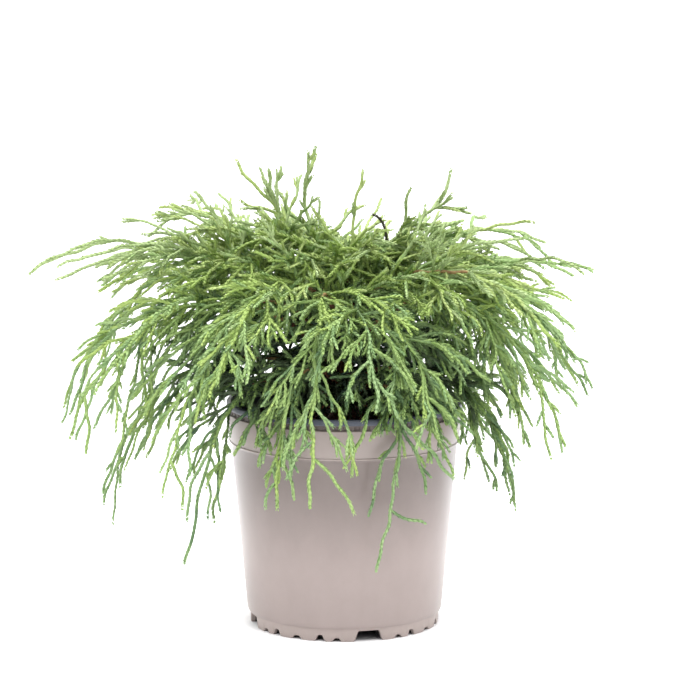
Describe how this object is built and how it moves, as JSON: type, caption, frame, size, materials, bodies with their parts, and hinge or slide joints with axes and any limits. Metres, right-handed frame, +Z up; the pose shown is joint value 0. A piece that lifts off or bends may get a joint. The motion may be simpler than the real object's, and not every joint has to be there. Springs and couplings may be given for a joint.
{
  "type": "potted sawara cypress",
  "caption": "Low weeping threadleaf conifer: thread-like sprays arch out from a short trunk and hang over a round tapering plastic nursery pot with a lip, a band and a notched foot.",
  "frame": {"origin": "middle of the pot's underside, on the surface that it stands on", "axes": "+Z up, +X to the right of the pictured view and along the plant's longest spread, +Y away from the viewer"},
  "size_m": [0.4044, 0.308, 0.3433],
  "materials": {
    "pot_plastic": "taupe injection-moulded polypropylene, satin",
    "potting_soil": "dark moist peat and bark mix, crumbly",
    "bark": "thin reddish brown bark, rough and flaking",
    "foliage": "small overlapping scale leaves, fresh green, satin"
  },
  "bodies": {
    "root": {"pot": "pot_plastic", "potting_soil": "potting_soil", "trunk": "bark", "skirt_bough_1": "bark", "skirt_foliage_1": "foliage", "skirt_bough_2": "bark", "skirt_foliage_2": "foliage", "skirt_bough_3": "bark", "skirt_foliage_3": "foliage", "skirt_bough_4": "bark", "skirt_foliage_4": "foliage", "skirt_bough_5": "bark", "skirt_foliage_5": "foliage", "skirt_bough_6": "bark", "skirt_foliage_6": "foliage", "skirt_bough_7": "bark", "skirt_foliage_7": "foliage", "skirt_bough_8": "bark", "skirt_foliage_8": "foliage", "mantle_bough_1": "bark", "mantle_foliage_1": "foliage", "mantle_bough_2": "bark", "mantle_foliage_2": "foliage", "mantle_bough_3": "bark", "mantle_foliage_3": "foliage", "mantle_bough_4": "bark", "mantle_foliage_4": "foliage", "mantle_bough_5": "bark", "mantle_foliage_5": "foliage", "mantle_bough_6": "bark", "mantle_foliage_6": "foliage", "mantle_bough_7": "bark", "mantle_foliage_7": "foliage", "mantle_bough_8": "bark", "mantle_foliage_8": "foliage", "mantle_bough_9": "bark", "mantle_foliage_9": "foliage", "shoulder_bough_1": "bark", "shoulder_foliage_1": "foliage", "shoulder_bough_2": "bark", "shoulder_foliage_2": "foliage", "shoulder_bough_3": "bark", "shoulder_foliage_3": "foliage", "shoulder_bough_4": "bark", "shoulder_foliage_4": "foliage", "shoulder_bough_5": "bark", "shoulder_foliage_5": "foliage", "shoulder_bough_6": "bark", "shoulder_foliage_6": "foliage", "shoulder_bough_7": "bark", "shoulder_foliage_7": "foliage", "shoulder_bough_8": "bark", "shoulder_foliage_8": "foliage", "crest_foliage_1": "foliage", "crest_foliage_2": "foliage", "crest_foliage_3": "foliage", "crest_foliage_4": "foliage", "crest_foliage_5": "foliage"}
  },
  "joints": []
}
